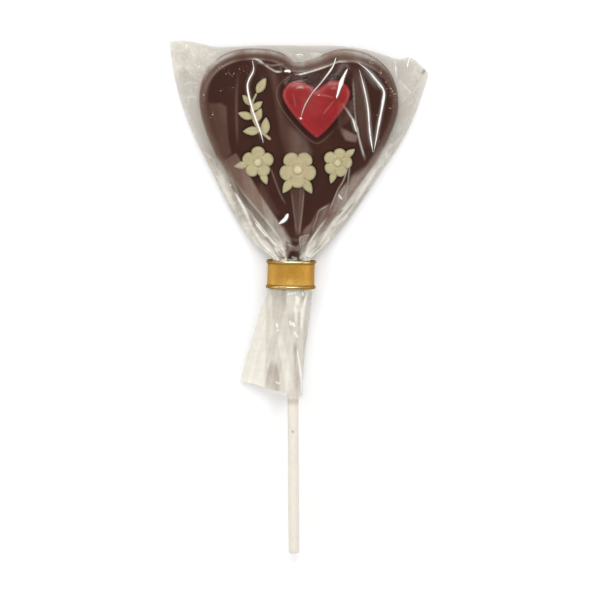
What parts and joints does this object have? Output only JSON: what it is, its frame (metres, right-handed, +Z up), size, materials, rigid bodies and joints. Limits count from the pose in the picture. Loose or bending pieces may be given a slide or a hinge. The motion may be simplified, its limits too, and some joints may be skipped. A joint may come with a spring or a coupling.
{
  "type": "chocolate lollipop",
  "caption": "heart-shaped dark chocolate lollipop with a red heart and cream floral relief, on a paper stick, in a clear film bag gathered by an oval gold ring",
  "frame": {"origin": "on the surface that the lollipop lies on, under the middle of its bounding box", "axes": "+X to the right across the heart, +Y from the stick's end to the heart's lobes, +Z up out of the shown face"},
  "size_m": [0.0961, 0.1919, 0.0121],
  "materials": {
    "dark_chocolate": "smooth moulded dark chocolate, satin",
    "red_chocolate": "smooth moulded red chocolate, semi-gloss",
    "white_chocolate": "smooth moulded cream chocolate, satin",
    "stick_paper": "rolled off-white paper, matt",
    "gold_metal": "gold, satin",
    "clear_film": "clear crinkled film, glossy"
  },
  "bodies": {
    "root": {"chocolate_heart": "dark_chocolate", "red_heart": "red_chocolate", "cream_blossom_left": "white_chocolate", "cream_blossom_middle": "white_chocolate", "cream_blossom_right": "white_chocolate", "cream_sprig": "white_chocolate", "stick": "stick_paper", "gold_ring": "gold_metal", "film_bag": "clear_film"}
  },
  "joints": []
}
